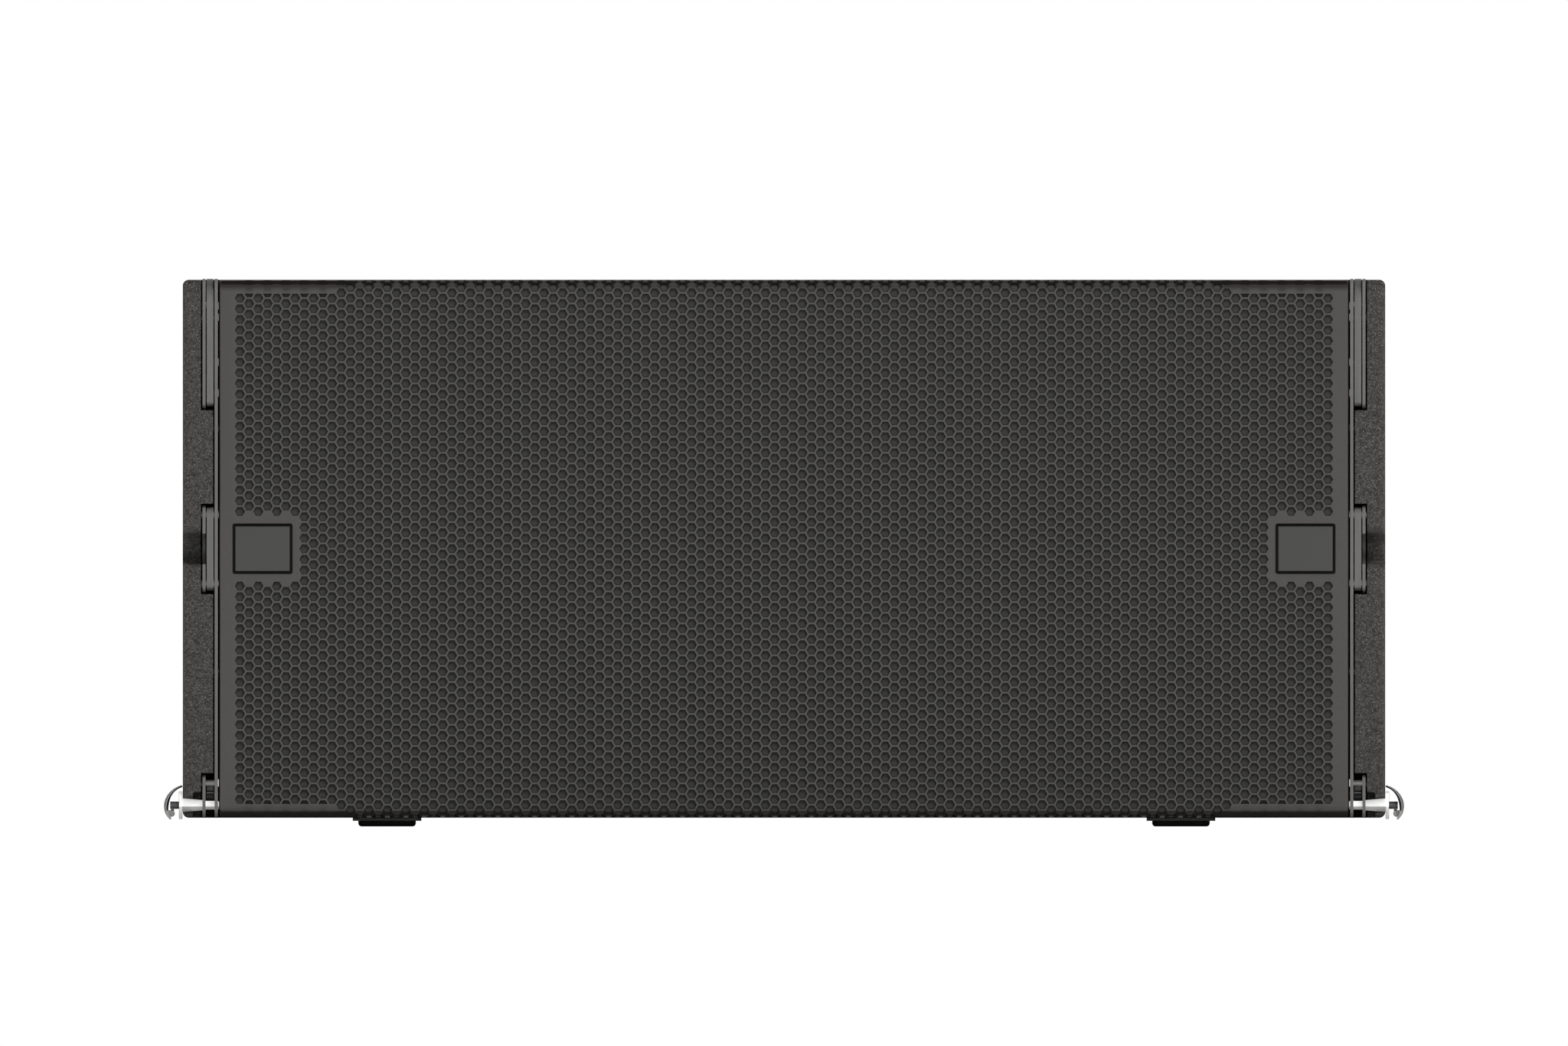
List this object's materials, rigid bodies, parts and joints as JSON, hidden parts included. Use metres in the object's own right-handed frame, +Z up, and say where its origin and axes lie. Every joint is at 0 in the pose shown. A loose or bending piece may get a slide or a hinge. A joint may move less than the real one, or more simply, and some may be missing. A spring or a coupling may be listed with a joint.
{
  "type": "line array speaker",
  "caption": "Wide flown line array speaker with a hexagon-perforated grille, side rigging with sliding links and release pins, and feet",
  "frame": {"origin": "centre of the bounding box's footprint, at the soles of the feet", "axes": "+Z up, -Y out of the grille, +X to the right when looking at the grille"},
  "size_m": [0.727, 0.4562, 0.321],
  "materials": {
    "cabinet_paint": "plywood with dark grey textured coating",
    "baffle_board": "plywood painted matt black",
    "moulded_plastic": "moulded black plastic",
    "horn_plastic": "moulded black horn",
    "driver_iron": "black-plated iron",
    "black_screws": "black zinc screws",
    "zinc_steel": "bright zinc-plated steel",
    "grille_paint": "powder-coated perforated sheet, warm dark grey",
    "grille_foam": "open-cell acoustic foam",
    "badge_rim": "black rim",
    "badge_face": "blank dark grey plate",
    "foot_plate_paint": "dark painted steel",
    "foot_rubber": "black moulded rubber",
    "panel_paint": "black fine-texture powder coat",
    "bare_aluminium": "bare sheet",
    "amplifier_parts": "populated circuit board",
    "black_anodised": "black anodised extrusion",
    "mains_socket_shell": "dark moulded plastic",
    "network_socket_shell": "black die-cast shell",
    "signal_socket_shell": "black die-cast shell",
    "display_glass": "smoked window",
    "knob_rubber": "fluted black knob",
    "cast_basket": "black-painted casting",
    "cone_paper": "coated paper cone",
    "rigging_plate": "grey powder-coated steel plate",
    "link_steel": "grey coated steel bar",
    "pin_chrome": "bright polished pin",
    "lever_steel": "dark brushed steel",
    "handle_plastic": "moulded black plastic",
    "rear_rigging_paint": "black powder-coated steel"
  },
  "bodies": {
    "cabinet": {"cabinet_shell": "cabinet_paint", "front_baffle": "baffle_board", "cabinet_braces": "baffle_board", "bass_ports": "moulded_plastic", "hf_waveguide": "horn_plastic", "compression_driver_upper": "driver_iron", "compression_driver_lower": "driver_iron", "driver_screws": "black_screws", "grille_screws": "black_screws", "panel_screws": "black_screws", "rear_screws": "black_screws", "rigging_screws": "zinc_steel", "front_grille": "grille_paint", "grille_foam": "grille_foam", "badge_frames": "badge_rim", "badge_faces": "badge_face", "foot_plates": "foot_plate_paint", "rubber_feet": "foot_rubber", "lower_stops": "rigging_plate", "amplifier_panel": "panel_paint", "amplifier_chassis": "bare_aluminium", "amplifier_boards": "amplifier_parts", "heatsink": "black_anodised", "mains_sockets": "mains_socket_shell", "network_sockets": "network_socket_shell", "signal_sockets": "signal_socket_shell", "display_window": "display_glass", "woofer_left_basket": "cast_basket", "woofer_left_cone": "cone_paper", "woofer_left_magnet": "driver_iron", "inner_plate_left": "rigging_plate", "upper_plate_left": "rigging_plate", "middle_plate_left": "rigging_plate", "lower_plate_left": "rigging_plate", "parking_block_left": "rigging_plate", "rigging_rivets_left": "zinc_steel", "handle_cup_left": "handle_plastic", "rear_bracket_left": "rear_rigging_paint", "woofer_right_basket": "cast_basket", "woofer_right_cone": "cone_paper", "woofer_right_magnet": "driver_iron", "inner_plate_right": "rigging_plate", "upper_plate_right": "rigging_plate", "middle_plate_right": "rigging_plate", "lower_plate_right": "rigging_plate", "parking_block_right": "rigging_plate", "rigging_rivets_right": "zinc_steel", "handle_cup_right": "handle_plastic", "rear_bracket_right": "rear_rigging_paint"},
    "front_link_left": {"front_link_left": "link_steel"},
    "front_pin_left": {"front_pin_left": "pin_chrome"},
    "front_lever_left": {"front_lever_left": "lever_steel"},
    "rear_link_left": {"rear_link_left": "link_steel"},
    "rear_pin_left": {"rear_pin_left": "pin_chrome"},
    "front_link_right": {"front_link_right": "link_steel"},
    "front_pin_right": {"front_pin_right": "pin_chrome"},
    "front_lever_right": {"front_lever_right": "lever_steel"},
    "rear_link_right": {"rear_link_right": "link_steel"},
    "rear_pin_right": {"rear_pin_right": "pin_chrome"},
    "encoder": {"encoder_knob": "knob_rubber"}
  },
  "joints": [
    {"name": "front_link_left_slide", "type": "slide", "parent": "cabinet", "child": "front_link_left", "axis": [0, 0, 1], "range_m": [0, 0.0249]},
    {"name": "front_pin_left_slide", "type": "slide", "parent": "cabinet", "child": "front_pin_left", "axis": [-1, 0, 0], "range_m": [0, 0.023]},
    {"name": "front_lever_left_hinge", "type": "hinge", "parent": "front_pin_left", "child": "front_lever_left", "pos_m": [-0.359, -0.21285, 0.0076], "axis": [0, -1, 0], "range_deg": [0, 30]},
    {"name": "rear_link_left_hinge", "type": "hinge", "parent": "cabinet", "child": "rear_link_left", "pos_m": [-0.292, 0.21215, 0.25375], "axis": [1, 0, 0], "range_deg": [0, 180]},
    {"name": "rear_pin_left_slide", "type": "slide", "parent": "cabinet", "child": "rear_pin_left", "axis": [-1, 0, 0], "range_m": [0, 0.022]},
    {"name": "front_link_right_slide", "type": "slide", "parent": "cabinet", "child": "front_link_right", "axis": [0, 0, 1], "range_m": [0, 0.0249]},
    {"name": "front_pin_right_slide", "type": "slide", "parent": "cabinet", "child": "front_pin_right", "axis": [1, 0, 0], "range_m": [0, 0.023]},
    {"name": "front_lever_right_hinge", "type": "hinge", "parent": "front_pin_right", "child": "front_lever_right", "pos_m": [0.359, -0.21285, 0.0076], "axis": [0, 1, 0], "range_deg": [0, 30]},
    {"name": "rear_link_right_hinge", "type": "hinge", "parent": "cabinet", "child": "rear_link_right", "pos_m": [0.292, 0.21215, 0.25375], "axis": [1, 0, 0], "range_deg": [0, 180]},
    {"name": "rear_pin_right_slide", "type": "slide", "parent": "cabinet", "child": "rear_pin_right", "axis": [1, 0, 0], "range_m": [0, 0.022]},
    {"name": "encoder_turn", "type": "hinge", "parent": "cabinet", "child": "encoder", "pos_m": [0.104, 0.20215, 0.17293], "axis": [0, 1, 0], "continuous": true}
  ]
}
